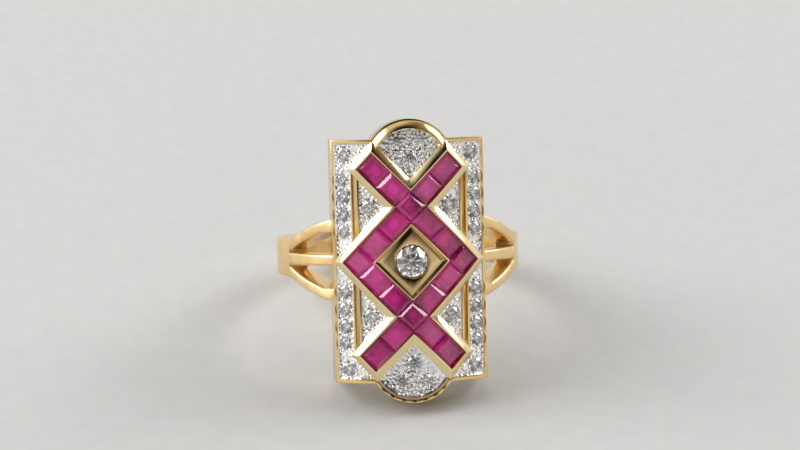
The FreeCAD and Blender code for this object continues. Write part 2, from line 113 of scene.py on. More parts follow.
def copy_of_node(node, name):
    """A CAD node's shape as one merged surface, upright and in millimetres."""
    piece = bpy.data.objects.new(name, frame["nodes"][node].data.copy())
    bpy.context.scene.collection.objects.link(piece)
    piece.data.materials.clear()
    piece.data.transform(LEANED.inverted())
    pick(piece)
    bpy.ops.mesh.customdata_custom_splitnormals_clear()
    bpy.ops.object.mode_set(mode="EDIT")
    bpy.ops.mesh.select_all(action="SELECT")
    bpy.ops.mesh.remove_doubles(threshold=WELD_DISTANCE)
    bpy.ops.mesh.dissolve_limited(angle_limit=FLAT_ENOUGH)
    bpy.ops.object.mode_set(mode="OBJECT")
    return piece


def lean_back(piece, material):
    """Give a piece its finish and its place in the resting ring, in metres."""
    piece.data.materials.clear()
    piece.data.materials.append(material)
    piece.data.transform(LEANED)
    piece.data.update()


def linear(code):
    """An sRGB hex colour as linear RGBA."""
    parts = [int(code[start:start + 2], 16) / 255 for start in (1, 3, 5)]
    return [p / 12.92 if p <= 0.04045 else ((p + 0.055) / 1.055) ** 2.4 for p in parts] + [1.0]


def add_node(tree, kind, settings=None, inputs=None):
    """A node with its settings; each input is a value, or another node's output to link."""
    made = tree.nodes.new(kind)
    for name, value in (settings or {}).items():
        setattr(made, name, value)
    for name, value in (inputs or {}).items():
        if isinstance(value, bpy.types.NodeSocket):
            tree.links.new(value, made.inputs[name])
        else:
            made.inputs[name].default_value = value
    return made


def per_metre(size_mm):
    """Texture scale whose features are about one size, in millimetres, apart."""
    return 1 / (size_mm * MILLIMETRE)


# Polish varies in patches about this wide, between these shares of a metal's own roughness.
PATCH_MM = 1.4
BRIGHTEST, DULLEST = 0.7, 1.6
# A colour mix node takes its two colours at these inputs and gives the result at this output.
MIX_FACTOR, MIX_A, MIX_B, MIX_RESULT = 0, 6, 7, 2


def polished_metal(name, light, deep, roughness, relief_mm, relief_depth_mm, graved=False):
    """Metal polished by hand and so faintly wavy, or cut into small facets by a graver."""
    material = bpy.data.materials.new(name)
    material.use_nodes = True
    tree = material.node_tree
    shader = tree.nodes["Principled BSDF"]
    shader.inputs["Metallic"].default_value = 1.0
    spot = add_node(tree, "ShaderNodeTexCoord").outputs["Object"]
    patches = add_node(
        tree,
        "ShaderNodeTexNoise",
        inputs={"Vector": spot, "Scale": per_metre(PATCH_MM), "Detail": 4.0},
    ).outputs["Fac"]
    tone = add_node(
        tree,
        "ShaderNodeMix",
        {"data_type": "RGBA"},
        {MIX_FACTOR: patches, MIX_A: linear(deep), MIX_B: linear(light)},
    )
    tree.links.new(tone.outputs[MIX_RESULT], shader.inputs["Base Color"])
    polish = add_node(
        tree,
        "ShaderNodeMapRange",
        inputs={
            "Value": patches,
            "From Min": 0.35,
            "From Max": 0.7,
            "To Min": roughness * BRIGHTEST,
            "To Max": roughness * DULLEST,
        },
    )
    tree.links.new(polish.outputs["Result"], shader.inputs["Roughness"])
    if graved:
        relief = add_node(
            tree,
            "ShaderNodeTexVoronoi",
            {"feature": "F1"},
            {"Vector": spot, "Scale": per_metre(relief_mm)},
        ).outputs["Distance"]
    else:
        relief = add_node(
            tree,
            "ShaderNodeTexNoise",
            inputs={"Vector": spot, "Scale": per_metre(relief_mm), "Detail": 2.0},
        ).outputs["Fac"]
    bump = add_node(
        tree,
        "ShaderNodeBump",
        inputs={"Height": relief, "Strength": 1.0, "Distance": relief_depth_mm * MILLIMETRE},
    )
    tree.links.new(bump.outputs["Normal"], shader.inputs["Normal"])
    return material


# 18 carat yellow gold, cast and wheel-polished: warm, with soft rolling reflections.
shank_gold = polished_metal("polished yellow gold, shank", "#F2D8A4", "#EAC688", 0.3, 0.9, 0.004)

shank = copy_of_node("shank", "forked_shank")
round_edges(shank, SHANK_EDGE)
lean_back(shank, shank_gold)
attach(shank, "root")
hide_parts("shank")

# ------------------------------------------------------------------------------- head frame
# The head's outer wall and narrow rim, the same gold, cast with a shallow dome on each short
# end. The setter scalloped the rim beside each small stone, and left a broad band on the upper
# dome.

RIM_TOP_RADIUS = 11.4
RIM_EDGE = 0.07
DOME_CENTRE_HEIGHT = 7.7
PAVE_GIRDLE_RADIUS = 11.24
STRIP_WIDTH = 0.4

# Front-view place and diameter of each small stone in the upper right quarter of the head.
SIDE_STONES = [
    (5.27, 2.4, 1.15),
    (5.27, 3.8, 1.2),
    (5.27, 5.2, 1.2),
    (5.29, 6.52, 1.05),
    (5.1, 8.55, 1.25),
]
QUARTERS = {
    "upper_left": (-1, 1),
    "upper_right": (1, 1),
    "lower_left": (-1, -1),
    "lower_right": (1, -1),
}

# The head's layers are drawn flat, as wide as they are round the finger at the lips' radius.
# There x is a length round the finger, y is a depth under the lips and z is along the finger.
FLAT_RADIUS = 11.844


def flat_across(x, radius):
    """Width round the finger, at the lips, of a front-view width x at some radius."""
    return FLAT_RADIUS * math.asin(x / radius)


def radial_matrix(across, height, radius):
    """Place on the head with local -Y pointing straight out, from its flat place."""
    angle = across / FLAT_RADIUS
    spot = Vector((radius * math.sin(angle), -radius * math.cos(angle), height))
    return Matrix.Translation(spot) @ Matrix.Rotation(angle, 4, "Z")


def slice_across(piece):
    """Divide a flat piece into narrow strips, so that it can curve."""
    reach = int(max(abs(corner.co.x) for corner in piece.data.vertices) / STRIP_WIDTH)
    pick(piece)
    bpy.ops.object.mode_set(mode="EDIT")
    for number in range(-reach, reach + 1):
        bpy.ops.mesh.select_all(action="SELECT")
        bpy.ops.mesh.bisect(plane_co=(number * STRIP_WIDTH, 0, 0), plane_no=(1, 0, 0))
    bpy.ops.object.mode_set(mode="OBJECT")


def curve_round_finger(piece):
    """Bend a flat piece round the finger's axis."""
    places = [corner.co.x for corner in piece.data.vertices]
    angle = (max(places) - min(places)) / FLAT_RADIUS
    finish_with(piece, "SIMPLE_DEFORM", deform_method="BEND", deform_axis="Z", angle=angle)
    piece.data.transform(Matrix.Translation((0, -FLAT_RADIUS, 0)))


def join(pieces, name):
    """Make several objects into one."""
    pick(pieces[0])
    for piece in pieces[1:]:
        piece.select_set(True)
    if len(pieces) > 1:
        bpy.ops.object.join()
    pieces[0].name = name
    return pieces[0]


def apply_place(piece):
    """Put an object's place, turn and scale into its mesh."""
    pick(piece)
    bpy.ops.object.transform_apply(location=True, rotation=True, scale=True)


# 18 carat yellow gold, polished but for the graver's nicks: small bright breaks along the rim.
frame_gold = polished_metal("polished yellow gold, head", "#EED59A", "#E0BA76", 0.17, 0.6, 0.004)

head_frame = copy_of_node("head_frame", "head_wall")
SCALLOP_DEPTH = 0.22
SCALLOP_OVERCUT = 0.25
DOME_SCALLOP_RADIUS = 0.3
DOME_SCALLOP_REACH = 3.23
DOME_SCALLOP_ANGLES = range(-150, -29, 15)
scallop_places = [
    (side * x, level * z, diameter / 2 + SCALLOP_OVERCUT)
    for side, level in QUARTERS.values()
    for x, z, diameter in SIDE_STONES
] + [
    (
        DOME_SCALLOP_REACH * math.cos(math.radians(angle)),
        DOME_SCALLOP_REACH * math.sin(math.radians(angle)) - DOME_CENTRE_HEIGHT,
        DOME_SCALLOP_RADIUS,
    )
    for angle in DOME_SCALLOP_ANGLES
]
scallops = []
for x, z, radius in scallop_places:
    bpy.ops.mesh.primitive_cylinder_add(vertices=20, radius=radius, depth=2 * SCALLOP_DEPTH)
    scallop = bpy.context.object
    over_stone = radial_matrix(flat_across(x, PAVE_GIRDLE_RADIUS), z, RIM_TOP_RADIUS)
    scallop.matrix_world = over_stone @ Matrix.Rotation(math.pi / 2, 4, "X")
    scallops.append(scallop)
scallops = join(scallops, "scallops")
apply_place(scallops)
cut_away(head_frame, scallops)
round_edges(head_frame, RIM_EDGE)

# The band on the upper dome: a bar that slopes outwards, swept round the dome's centre.
DOME_BAND_OUTER = 3.45
DOME_BAND_WIDTH = 0.6
DOME_BAND_TOP = FLAT_RADIUS - 11.72
DOME_BAND_FALL = 0.36
DOME_BAND_DEPTH = 0.5
DOME_BAND_START = math.radians(27)
DOME_BAND_SWEEP = math.radians(126)
DOME_BAND_STEPS = 36
DOME_BAND_EDGE = 0.04


def choose(piece, kind, test):
    """In edit mode, select just the verts, edges or faces that pass a test."""
    bpy.ops.mesh.select_mode(type={"verts": "VERT", "edges": "EDGE", "faces": "FACE"}[kind])
    bpy.ops.mesh.select_all(action="DESELECT")
    mesh = bmesh.from_edit_mesh(piece.data)
    for part in getattr(mesh, kind):
        if test(part):
            part.select_set(True)
    mesh.select_flush_mode()
    bmesh.update_edit_mesh(piece.data)


band_middle = DOME_BAND_OUTER - DOME_BAND_WIDTH / 2
bpy.ops.mesh.primitive_plane_add(size=1)
dome_band = bpy.context.object
dome_band.scale = (DOME_BAND_WIDTH, DOME_BAND_DEPTH, 1)
dome_band.location = (band_middle, DOME_BAND_TOP + DOME_BAND_DEPTH / 2, 0)
apply_place(dome_band)
bpy.ops.object.mode_set(mode="EDIT")
choose(dome_band, "verts", lambda v: v.co.x > band_middle and v.co.y < DOME_BAND_TOP + 0.1)
bpy.ops.transform.translate(value=(0, DOME_BAND_FALL, 0))
bpy.ops.object.mode_set(mode="OBJECT")
dome_band.rotation_euler.y = -DOME_BAND_START
apply_place(dome_band)
bpy.ops.object.mode_set(mode="EDIT")
bpy.ops.mesh.select_all(action="SELECT")
bpy.ops.mesh.spin(
    steps=DOME_BAND_STEPS, angle=DOME_BAND_SWEEP, center=(0, 0, 0), axis=(0, 1, 0)
)
bpy.ops.mesh.select_all(action="SELECT")
bpy.ops.mesh.remove_doubles(threshold=0.001)
bpy.ops.mesh.normals_make_consistent(inside=False)
bpy.ops.object.mode_set(mode="OBJECT")
dome_band.scale.x = flat_across(DOME_BAND_OUTER, RIM_TOP_RADIUS) / DOME_BAND_OUTER
dome_band.location.z = DOME_CENTRE_HEIGHT
apply_place(dome_band)
round_edges(dome_band, DOME_BAND_EDGE)
curve_round_finger(dome_band)
head_frame = join([head_frame, dome_band], "scalloped_head_frame")
lean_back(head_frame, frame_gold)
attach(head_frame, "root")
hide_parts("head_frame")

# ----------------------------------------------------------------------------- ruby channel
# A lattice of four straight troughs in yellow gold, fabricated in one piece and soldered into
# the frame. Broad polished walls slope down from a fine lip that was rubbed over the stones,
# and a round window is drilled behind each stone.

HALF_DIAGONAL = 4.358
ARM_LENGTH = 5.218
HALF_CHANNEL = 1.79 / 2
LIP_WIDTH = 0.13
WALL_WIDTH = 0.5
PAVE_DEPTH = FLAT_RADIUS - 11.3
WALL_FALL = 0.3
TROUGH_DEPTH = FLAT_RADIUS - 10.45
FOOT_DEPTH = FLAT_RADIUS - 10.15
WINDOW_RADIUS = 0.5
CHANNEL_EDGE = 0.03
SHEET_SIZE = 26
ROOT_TWO = math.sqrt(2)
HALF_SIDE = HALF_DIAGONAL / ROOT_TWO


def along_troughs(x, z):
    """A flat place as lengths in the two directions that the troughs run."""
    return (x + z) / ROOT_TWO, (z - x) / ROOT_TWO


def in_channel(x, z, margin=0.0):
    """Whether a flat place is within a margin of the troughs."""
    half = HALF_CHANNEL + margin
    rise, fall = along_troughs(x, z)
    return any(
        abs(across - way * HALF_SIDE) < half
        and -HALF_SIDE - half < way * along < HALF_SIDE + ARM_LENGTH + margin
        for across, along in ((rise, fall), (fall, rise))
        for way in (1, -1)
    )


def in_middle(x, z, margin=0.0):
    """Whether a flat place is inside the rhombus, by more than a margin."""
    return max(map(abs, along_troughs(x, z))) < HALF_SIDE - HALF_CHANNEL - margin


bpy.ops.mesh.primitive_plane_add(size=SHEET_SIZE, rotation=(math.pi / 2, 0, 0))
channel = bpy.context.object
apply_place(channel)
bpy.ops.object.mode_set(mode="EDIT")
for reach in (HALF_SIDE - HALF_CHANNEL, HALF_SIDE + HALF_CHANNEL, HALF_SIDE + ARM_LENGTH):
    for way in (1, -1):
        for across in (1, -1):
            normal = Vector((across, 0, 1)).normalized()
            bpy.ops.mesh.select_all(action="SELECT")
            bpy.ops.mesh.bisect(plane_co=normal * reach * way, plane_no=normal)


def face_test(test):
    """A test of a face by its centre's flat place."""
    return lambda face: test(*face.calc_center_median().xz)


def in_outline(x, z, margin):
    """Whether a flat place is in the rhombus or within a margin of the troughs."""
    return in_middle(x, z) or in_channel(x, z, margin)


choose(channel, "faces", face_test(in_channel))
bpy.ops.mesh.inset(thickness=LIP_WIDTH, use_outset=True)
choose(channel, "faces", face_test(lambda x, z: in_outline(x, z, LIP_WIDTH)))
bpy.ops.mesh.inset(thickness=WALL_WIDTH, use_outset=True)
choose(channel, "faces", face_test(lambda x, z: not in_outline(x, z, LIP_WIDTH + WALL_WIDTH)))
bpy.ops.mesh.delete(type="FACE")
choose(channel, "edges", lambda edge: edge.is_boundary)
bpy.ops.transform.translate(value=(0, WALL_FALL, 0))
bpy.ops.object.mode_set(mode="OBJECT")

# The same outline, as a block, cuts the neighbouring pieces to fit.
BLOCK_DEPTH = 4
BLOCK_STANDS_PROUD = 1
outline_block = bpy.data.objects.new("outline_block", channel.data.copy())
bpy.context.scene.collection.objects.link(outline_block)
outline_block.scale.y = 0
apply_place(outline_block)
bpy.ops.object.mode_set(mode="EDIT")
bpy.ops.mesh.select_all(action="SELECT")
bpy.ops.mesh.normals_make_consistent(inside=False)
bpy.ops.mesh.extrude_region_move(TRANSFORM_OT_translate={"value": (0, BLOCK_DEPTH, 0)})
bpy.ops.mesh.select_all(action="SELECT")
bpy.ops.mesh.normals_make_consistent(inside=False)
bpy.ops.mesh.dissolve_limited(angle_limit=math.radians(1))
bpy.ops.transform.translate(value=(0, -BLOCK_STANDS_PROUD, 0))
bpy.ops.object.mode_set(mode="OBJECT")

pick(channel)
bpy.ops.object.mode_set(mode="EDIT")
choose(channel, "edges", lambda edge: edge.is_boundary)
bpy.ops.mesh.extrude_edges_move(
    TRANSFORM_OT_translate={"value": (0, FOOT_DEPTH - WALL_FALL, 0)}
)
choose(channel, "edges", lambda edge: edge.is_boundary)
bpy.ops.mesh.edge_face_add()
choose(
    channel,
    "faces",
    lambda face: face.calc_center_median().y < 0.01
    and in_channel(*face.calc_center_median().xz),
)
bpy.ops.mesh.extrude_region_move(TRANSFORM_OT_translate={"value": (0, TROUGH_DEPTH, 0)})
bpy.ops.mesh.select_all(action="SELECT")
bpy.ops.mesh.normals_make_consistent(inside=False)
bpy.ops.object.mode_set(mode="OBJECT")

# A cut can leave points this close together, which are merged before edges are rounded.
SLIVER = 0.01
opening_side = 2 * (HALF_SIDE - HALF_CHANNEL - LIP_WIDTH)
bpy.ops.mesh.primitive_cube_add(size=1, rotation=(0, math.pi / 4, 0))
opening = bpy.context.object
opening.scale = (opening_side, 2 * BLOCK_DEPTH, opening_side)
apply_place(opening)
cut_away(channel, opening)
pick(channel)
bpy.ops.object.mode_set(mode="EDIT")
bpy.ops.mesh.select_all(action="SELECT")
bpy.ops.mesh.remove_doubles(threshold=SLIVER)
bpy.ops.object.mode_set(mode="OBJECT")
round_edges(channel, CHANNEL_EDGE)

# Each stone's node, flat place, direction of its trough and length.
ARM_STONE = (ARM_LENGTH - HALF_CHANNEL) / 2
SIDE_STONE = (ROOT_TWO * HALF_DIAGONAL - 2 * HALF_CHANNEL) / 2
RUBIES = [
    ("ruby_left_corner", -HALF_DIAGONAL, 0, 1, 2 * HALF_CHANNEL),
    ("ruby_right_corner", HALF_DIAGONAL, 0, 1, 2 * HALF_CHANNEL),
    ("ruby_upper_junction", 0, HALF_DIAGONAL, 1, 2 * HALF_CHANNEL),
    ("ruby_lower_junction", 0, -HALF_DIAGONAL, 1, 2 * HALF_CHANNEL),
]
for quarter, (side, level) in QUARTERS.items():
    for number in (1, 2):
        for part, length, outward in (("arm", ARM_STONE, 1), ("side", SIDE_STONE, -1)):
            reach = (HALF_CHANNEL + (number - 0.5) * length) / ROOT_TWO
            RUBIES.append(
                (
                    f"ruby_{quarter}_{part}_{number}",
                    side * reach,
                    level * (HALF_DIAGONAL + outward * reach),
                    side * level * outward,
                    length,
                )
            )

windows = []
for node, x, z, rise, length in RUBIES:
    bpy.ops.mesh.primitive_cylinder_add(
        vertices=20,
        radius=WINDOW_RADIUS,
        depth=1,
        location=(x, TROUGH_DEPTH, z),
        rotation=(math.pi / 2, 0, 0),
    )
    windows.append(bpy.context.object)
windows = join(windows, "windows")
apply_place(windows)
cut_away(channel, windows)
slice_across(channel)
curve_round_finger(channel)
channel.name = "lipped_ruby_channel"

# The same yellow gold. The lips were burnished and the walls kept flat, so they flash evenly.
channel_gold = polished_metal(
    "burnished yellow gold, channel", "#F8EAC0", "#EDD095", 0.12, 1.1, 0.002
)
lean_back(channel, channel_gold)
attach(channel, "root")
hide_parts("ruby_channel")

# ---------------------------------------------------------------------------------- rubies
# Calibre-cut natural rubies, purplish red: a low bevelled crown round a flat table and a stepped
# pavilion. Each was ground to fit its own place, so they lean a little differently.

RUBY_GIRDLE_RADIUS = 11.42
RUBY_WIDTH = 1.75
RUBY_GAP = 0.06
GIRDLE_HEIGHT = 0.12
CROWN_INSET = 0.27
CROWN_HEIGHT = 0.2
STEP_INSET = 0.26
STEP_DEPTHS = (0.36, 0.3)
FACET_EDGE = 0.012
MOST_TIP = 4


def calibre_cut(name, length):
    """One stone about its girdle, along x, with its table towards -Y."""
    bpy.ops.mesh.primitive_cube_add(size=1)
    stone = bpy.context.object
    stone.name = name
    stone.scale = (length - RUBY_GAP, GIRDLE_HEIGHT, RUBY_WIDTH)
    apply_place(stone)
    bpy.ops.object.mode_set(mode="EDIT")
    choose(stone, "faces", lambda face: face.normal.y < -0.9)
    bpy.ops.mesh.inset(thickness=CROWN_INSET, depth=CROWN_HEIGHT)
    choose(stone, "faces", lambda face: face.normal.y > 0.9)
    for depth in STEP_DEPTHS:
        bpy.ops.mesh.inset(thickness=STEP_INSET, depth=depth)
    bpy.ops.object.mode_set(mode="OBJECT")
    finish_with(
        stone,
        "BEVEL",
        width=FACET_EDGE,
        segments=1,
        limit_method="ANGLE",
        angle_limit=math.radians(20),
    )
    return stone


def own_copy(pattern, name, place):
    """A copy of a pattern with its own mesh, moved by a matrix."""
    made = bpy.data.objects.new(name, pattern.data.copy())
    bpy.context.scene.collection.objects.link(made)
    made.data.transform(place)
    return made


# Ruby, polished: half clear, half glowing with the fine silk inside. Its colour drifts from
# stone to stone, and within a stone in finer clouds.
DRIFT_MM = 2.2
SILK_MM = 0.35
SILK_SHARE = 0.45
ruby = bpy.data.materials.new("natural ruby, polished")
ruby.use_nodes = True
tree = ruby.node_tree
shader = tree.nodes["Principled BSDF"]
shader.inputs["Roughness"].default_value = 0.02
shader.inputs["IOR"].default_value = 1.77
shader.inputs["Transmission Weight"].default_value = 0.55
spot = add_node(tree, "ShaderNodeTexCoord").outputs["Object"]
drift = add_node(
    tree,
    "ShaderNodeTexNoise",
    inputs={"Vector": spot, "Scale": per_metre(DRIFT_MM), "Detail": 1.0},
).outputs["Fac"]
silk = add_node(
    tree,
    "ShaderNodeTexNoise",
    inputs={"Vector": spot, "Scale": per_metre(SILK_MM), "Detail": 5.0},
).outputs["Fac"]
mixed = add_node(
    tree, "ShaderNodeMath", {"operation": "MULTIPLY_ADD"}, {0: silk, 1: SILK_SHARE, 2: drift}
)
ruby_tone = add_node(tree, "ShaderNodeValToRGB", inputs={"Fac": mixed.outputs["Value"]})
ruby_tone.color_ramp.elements[0].position = 0.5
ruby_tone.color_ramp.elements[0].color = linear("#AC0C68")
ruby_tone.color_ramp.elements[1].position = 0.84
ruby_tone.color_ramp.elements[1].color = linear("#FF48B4")
tree.links.new(ruby_tone.outputs["Color"], shader.inputs["Base Color"])

lengths = (2 * HALF_CHANNEL, ARM_STONE, SIDE_STONE)
patterns = {length: calibre_cut("ruby_pattern", length) for length in lengths}


def tipped(draws):
    """A small random turn out of the level, drawn about X and then about Z."""
    about_x, about_z = (math.radians(draws.uniform(-MOST_TIP, MOST_TIP)) for axis in "XZ")
    return Matrix.Rotation(about_x, 4, "X") @ Matrix.Rotation(about_z, 4, "Z")


tips = random.Random(11)
narrowing = RUBY_GIRDLE_RADIUS / FLAT_RADIUS
for node, x, z, rise, length in RUBIES:
    turn = Matrix.Rotation(-math.atan2(rise, narrowing), 4, "Y")
    place = radial_matrix(x, z, RUBY_GIRDLE_RADIUS) @ turn @ tipped(tips)
    stone = own_copy(patterns[length], node.replace("ruby", "calibre_ruby"), place)
    lean_back(stone, ruby)
    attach(stone, "root")
    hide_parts(node)
for pattern in patterns.values():
    bpy.data.objects.remove(pattern)

# ---------------------------------------------------------------------------- centre plate
# A low rhombic boss of yellow gold inside the lattice: a flat mirror-polished top, bevelled
# sides, and a collet cut into it for the largest stone.

BOSS_TOP = FLAT_RADIUS - 11.72
BOSS_EDGE = FLAT_RADIUS - 11.59
BOSS_FOOT = FLAT_RADIUS - 10.35
BOSS_BEVEL = 0.4
CENTRE_DIAMETER = 2.5
CENTRE_GIRDLE_RADIUS = 11.62
COLLET_FLARE = 0.46
BOSS_GAP = 0.01
BOSS_ROUNDING = 0.03
SEAT_OPENING = 0.5
SEAT_BELOW_GIRDLE = 0.03
STONE_GAP = 0.01
WINDOW_DEPTH = 2

boss_side = opening_side - 2 * BOSS_GAP
bpy.ops.mesh.primitive_cube_add(size=1, rotation=(0, math.pi / 4, 0))
boss = bpy.context.object
boss.scale = (boss_side, BOSS_FOOT - BOSS_EDGE, boss_side)
boss.location.y = (BOSS_FOOT + BOSS_EDGE) / 2
apply_place(boss)
bpy.ops.object.mode_set(mode="EDIT")
choose(boss, "faces", lambda face: face.normal.y < -0.9)
bpy.ops.mesh.inset(thickness=BOSS_BEVEL, depth=BOSS_EDGE - BOSS_TOP)
bpy.ops.object.mode_set(mode="OBJECT")


def stone_seat(diameter, flare, place):
    """A cutter for one round stone: a flared opening, a bed and a window."""
    bpy.ops.mesh.primitive_cylinder_add(
        vertices=32,
        radius=diameter / 2 + STONE_GAP,
        depth=SEAT_OPENING,
        rotation=(math.pi / 2, 0, 0),
    )
    cutter = bpy.context.object
    cutter.location.y = SEAT_BELOW_GIRDLE - SEAT_OPENING / 2
    apply_place(cutter)
    bpy.ops.object.mode_set(mode="EDIT")
    choose(cutter, "faces", lambda face: face.normal.y > 0.9)
    bpy.ops.mesh.inset(thickness=0.36 * diameter, depth=0.42 * diameter)
    bpy.ops.mesh.extrude_region_move(TRANSFORM_OT_translate={"value": (0, WINDOW_DEPTH, 0)})
    choose(cutter, "faces", lambda face: face.normal.y < -0.9)
    widened = 1 + 2 * flare / diameter
    bpy.ops.transform.resize(value=(widened, 1, widened))
    bpy.ops.object.mode_set(mode="OBJECT")
    cutter.data.transform(place)
    return cutter


centre_place = Matrix.Translation((0, FLAT_RADIUS - CENTRE_GIRDLE_RADIUS, 0))
cut_away(boss, stone_seat(CENTRE_DIAMETER, COLLET_FLARE, centre_place))
round_edges(boss, BOSS_ROUNDING, angle=15)
slice_across(boss)
curve_round_finger(boss)
boss.name = "centre_boss"

# The flat top is the best mirror on the ring, so it looks dark wherever the room is dark.
boss_gold = polished_metal(
    "mirror-polished yellow gold, centre", "#E6CB96", "#D6B27A", 0.06, 1.6, 0.002
)
lean_back(boss, boss_gold)
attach(boss, "root")
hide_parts("centre_plate")

# -------------------------------------------------------------------------- centre diamond
# A round brilliant, the largest stone: table, star, kite and girdle facets over a pavilion
# whose main facets meet in a point. It sits flush in the boss, gripped by the collet's edge.

HALF_GIRDLE = 0.015
CROWN = 0.16
TABLE = 0.28
CULET = -0.43
CENTRE_TURN = 0.15
# Rings of corners of a brilliant one unit wide: count, radius, height and turn in degrees.
CORNER_RINGS = [
    (8, TABLE, HALF_GIRDLE + CROWN, 0),
    (8, 0.395, HALF_GIRDLE + 0.098, 22.5),
    (16, 0.5, HALF_GIRDLE, 0),
    (16, 0.5, -HALF_GIRDLE, 0),
    (8, 0.115, -0.346, 22.5),
    (8, 0.008, CULET, 0),
]
bpy.ops.mesh.primitive_circle_add(vertices=3, radius=0.004, location=(0, 0, CULET))
brilliant = bpy.context.object
apply_place(brilliant)
bpy.ops.object.mode_set(mode="EDIT")
for count, radius, height, turn in CORNER_RINGS:
    bpy.ops.mesh.primitive_circle_add(
        vertices=count,
        radius=radius,
        location=(0, 0, height),
        rotation=(0, 0, math.radians(turn)),
    )
bpy.ops.mesh.select_all(action="SELECT")
bpy.ops.mesh.convex_hull()
bpy.ops.mesh.dissolve_limited(angle_limit=math.radians(0.8))
bpy.ops.object.mode_set(mode="OBJECT")
brilliant.rotation_euler.x = math.pi / 2
apply_place(brilliant)


def set_brilliant(name, x, z, diameter, radius, turn, tip=Matrix()):
    """A copy of the brilliant at a flat place on the head, turned about its own axis."""
    place = radial_matrix(x, z, radius) @ tip @ Matrix.Rotation(turn, 4, "Y")
    return own_copy(brilliant, name, place @ Matrix.Scale(diameter, 4))


# Diamond, cut and polished: colourless and all but fully clear, so it shows what it bends.
TINT_MM = 1.2
diamond = bpy.data.materials.new("diamond, brilliant cut")
diamond.use_nodes = True
tree = diamond.node_tree
shader = tree.nodes["Principled BSDF"]
shader.inputs["Roughness"].default_value = 0.0
shader.inputs["IOR"].default_value = 2.42
shader.inputs["Transmission Weight"].default_value = 0.97
spot = add_node(tree, "ShaderNodeTexCoord").outputs["Object"]
tint = add_node(
    tree,
    "ShaderNodeTexNoise",
    inputs={"Vector": spot, "Scale": per_metre(TINT_MM), "Detail": 2.0},
).outputs["Fac"]
tint_ramp = add_node(tree, "ShaderNodeValToRGB", inputs={"Fac": tint})
tint_ramp.color_ramp.elements[0].position = 0.3
tint_ramp.color_ramp.elements[0].color = linear("#F4F1EE")
tint_ramp.color_ramp.elements[1].position = 0.7
tint_ramp.color_ramp.elements[1].color = linear("#FDFDFF")
tree.links.new(tint_ramp.outputs["Color"], shader.inputs["Base Color"])

centre_stone = set_brilliant(
    "centre_brilliant", 0, 0, CENTRE_DIAMETER, CENTRE_GIRDLE_RADIUS, CENTRE_TURN
)
lean_back(centre_stone, diamond)
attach(centre_stone, "root")
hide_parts("centre_diamond")

# ------------------------------------------------------------------------------ pave plates
# Ten thin rhodium-plated white gold plates that fill the spaces between the lattice and the
# rim. Each has a raised border and drilled seats, and the metal between was raised into beads
# that hold the stones and sparkle like smaller ones.

PLATE_BACK = FLAT_RADIUS - 10.4
PANEL_HALF_WIDTH = 5.8
PANEL_HALF_HEIGHT = 9.37
DOME_INNER_RADIUS = 3.2
GROOVE_SIDES = (4.03, 4.67)
GROOVE_TOP = 7.1
BORDER_WIDTH = 0.16
BORDER_HEIGHT = 0.1
PLATE_EDGE = 0.04
SEAT_FLARE = 0.75
TRIANGLE_STONE = (3.22, 4.36, 1.35)
DOME_STONES = {
    "top": [(-0.98, 9.62, 1.15), (0.88, 9.78, 1.1), (0.04, 8.22, 1.2)],
    "bottom": [(-0.98, -9.55, 1.15), (0.98, -9.55, 1.15), (0.0, -8.1, 1.2)],
}

# Every small stone by the plate that it is set in, as a flat place and a diameter.
fields = {
    f"{level}_dome": [(flat_across(x, PAVE_GIRDLE_RADIUS), z, d) for x, z, d in stones]
    for level, stones in DOME_STONES.items()
}
for quarter, (side, level) in QUARTERS.items():
    for part, stones in (("side", SIDE_STONES), ("triangle", [TRIANGLE_STONE])):
        fields[f"{quarter}_{part}"] = [
            (side * flat_across(x, PAVE_GIRDLE_RADIUS), level * z, d) for x, z, d in stones
        ]

PAVE_RADIUS = FLAT_RADIUS - PAVE_DEPTH
panel_reach = flat_across(PANEL_HALF_WIDTH, PAVE_RADIUS)
groove_near, groove_far = (flat_across(x, RIM_TOP_RADIUS) for x in GROOVE_SIDES)


def flat_block(name, low_x, high_x, low_z, high_z, front, back):
    """A block in the flat layout, between two depths."""
    bpy.ops.mesh.primitive_cube_add(size=1)
    block = bpy.context.object
    block.name = name
    block.scale = (high_x - low_x, back - front, high_z - low_z)
    block.location = ((low_x + high_x) / 2, (front + back) / 2, (low_z + high_z) / 2)
    apply_place(block)
    return block


sheet = flat_block(
    "sheet",
    -panel_reach,
    panel_reach,
    -PANEL_HALF_HEIGHT,
    PANEL_HALF_HEIGHT,
    PAVE_DEPTH,
    PLATE_BACK,
)
for level in (1, -1):
    bpy.ops.mesh.primitive_cylinder_add(vertices=96, radius=DOME_INNER_RADIUS, depth=1)
    disc = bpy.context.object
    disc.rotation_euler.x = math.pi / 2
    disc.location = (0, (PAVE_DEPTH + PLATE_BACK) / 2, level * DOME_CENTRE_HEIGHT)
    disc.scale.z = PLATE_BACK - PAVE_DEPTH
    apply_place(disc)
    disc.scale.x = flat_across(DOME_INNER_RADIUS, PAVE_RADIUS) / DOME_INNER_RADIUS
    apply_place(disc)
    cut_away(sheet, disc, "UNION")
cut_away(sheet, own_copy(outline_block, "lattice_cutter", Matrix()))
GROOVE_OVERRUN = 0.5
for side in (1, -1):
    for level in (1, -1):
        low_x, high_x = sorted((side * groove_near, side * groove_far))
        low_z, high_z = sorted((level, level * (GROOVE_TOP + GROOVE_OVERRUN)))
        cut_away(sheet, flat_block("groove", low_x, high_x, low_z, high_z, -1, 3))
pick(sheet)
bpy.ops.object.mode_set(mode="EDIT")
bpy.ops.mesh.select_all(action="SELECT")
bpy.ops.mesh.remove_doubles(threshold=3 * SLIVER)
bpy.ops.mesh.dissolve_limited(angle_limit=math.radians(1))
choose(sheet, "faces", lambda face: face.normal.y < -0.9)
bpy.ops.mesh.inset(thickness=BORDER_WIDTH, depth=-BORDER_HEIGHT)
